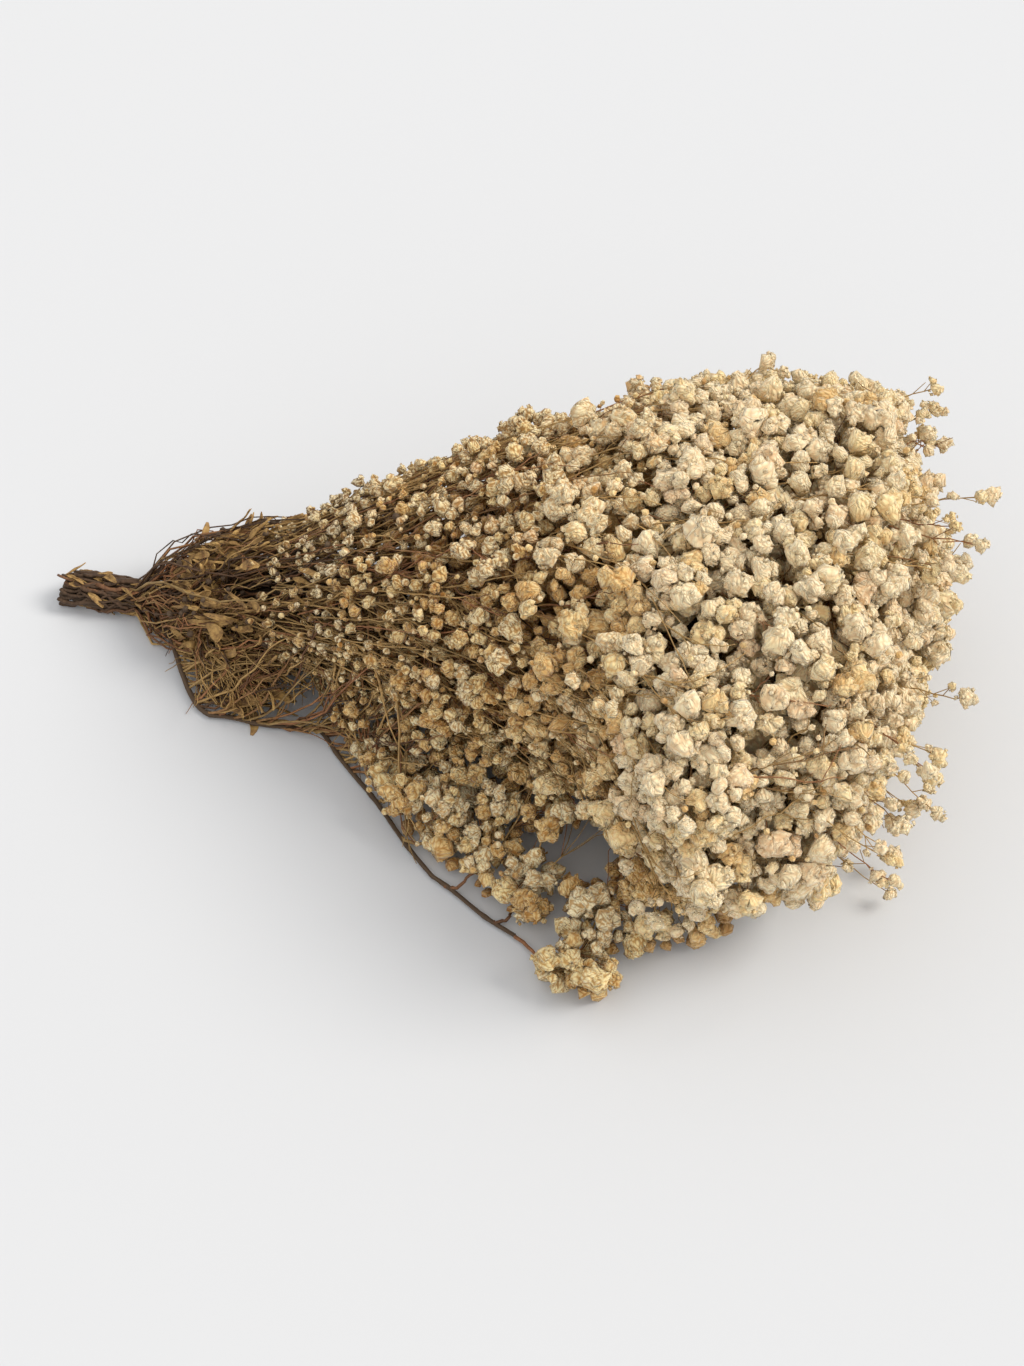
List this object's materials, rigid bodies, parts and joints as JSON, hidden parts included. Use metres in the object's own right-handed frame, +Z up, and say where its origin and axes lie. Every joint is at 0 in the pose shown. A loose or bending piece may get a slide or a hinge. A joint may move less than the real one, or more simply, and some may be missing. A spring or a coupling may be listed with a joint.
{
  "type": "bundle of preserved baby's breath",
  "caption": "Bundle of preserved baby's breath lying on its side: packed brown cut stems that open into a flattened fan of small cream double flowers, with one stem straying beside it.",
  "frame": {"origin": "centre of the bundle's outer box, on the surface it lies on", "axes": "+X from the cut ends towards the flower tips, +Z up, -Y the side the stray stem lies on"},
  "size_m": [0.4288, 0.3154, 0.1546],
  "materials": {
    "brown_flowers": "dry papery buds and small flowers, brown and gold",
    "golden_flowers": "dry papery flowers, golden",
    "cream_flowers": "dry papery double flowers, cream",
    "pale_flowers": "dry papery double flowers, pale cream",
    "stray_flowers": "dry papery double flowers, cream",
    "stem": "dry wrinkled brown stem",
    "leaf": "dry curled leaf, golden brown"
  },
  "bodies": {
    "root": {"crown_spray_1": "pale_flowers", "crown_spray_2": "pale_flowers", "crown_spray_3": "pale_flowers", "crown_spray_4": "pale_flowers", "crown_spray_5": "pale_flowers", "full_spray_1": "pale_flowers", "full_spray_2": "pale_flowers", "full_spray_3": "pale_flowers", "full_spray_4": "pale_flowers", "full_spray_5": "pale_flowers", "full_spray_6": "pale_flowers", "full_spray_7": "pale_flowers", "inner_spray_1": "golden_flowers", "inner_spray_2": "golden_flowers", "inner_spray_3": "golden_flowers", "inner_spray_4": "golden_flowers", "inner_spray_5": "golden_flowers", "leaf_1": "leaf", "leaf_10": "leaf", "leaf_2": "leaf", "leaf_3": "leaf", "leaf_4": "leaf", "leaf_5": "leaf", "leaf_6": "leaf", "leaf_7": "leaf", "leaf_8": "leaf", "leaf_9": "leaf", "lower_spray_1": "golden_flowers", "lower_spray_2": "golden_flowers", "lower_spray_3": "golden_flowers", "lower_spray_4": "golden_flowers", "middle_spray_1": "cream_flowers", "middle_spray_2": "cream_flowers", "middle_spray_3": "cream_flowers", "middle_spray_4": "cream_flowers", "middle_spray_5": "cream_flowers", "middle_spray_6": "cream_flowers", "middle_stem": "stem", "neck_spray_1": "brown_flowers", "neck_spray_2": "brown_flowers", "neck_spray_3": "brown_flowers", "stem_1": "stem", "stem_2": "stem", "stem_3": "stem", "stem_4": "stem", "stem_5": "stem", "stem_6": "stem", "stem_7": "stem", "stem_8": "stem", "stem_9": "stem", "stray_spray_1": "stray_flowers", "stray_spray_2": "stray_flowers", "stray_spray_3": "stray_flowers", "stray_spray_4": "stray_flowers", "stray_spray_5": "stray_flowers", "stray_spray_6": "stray_flowers", "stray_stem": "stem", "tip_spray": "pale_flowers"}
  },
  "joints": []
}
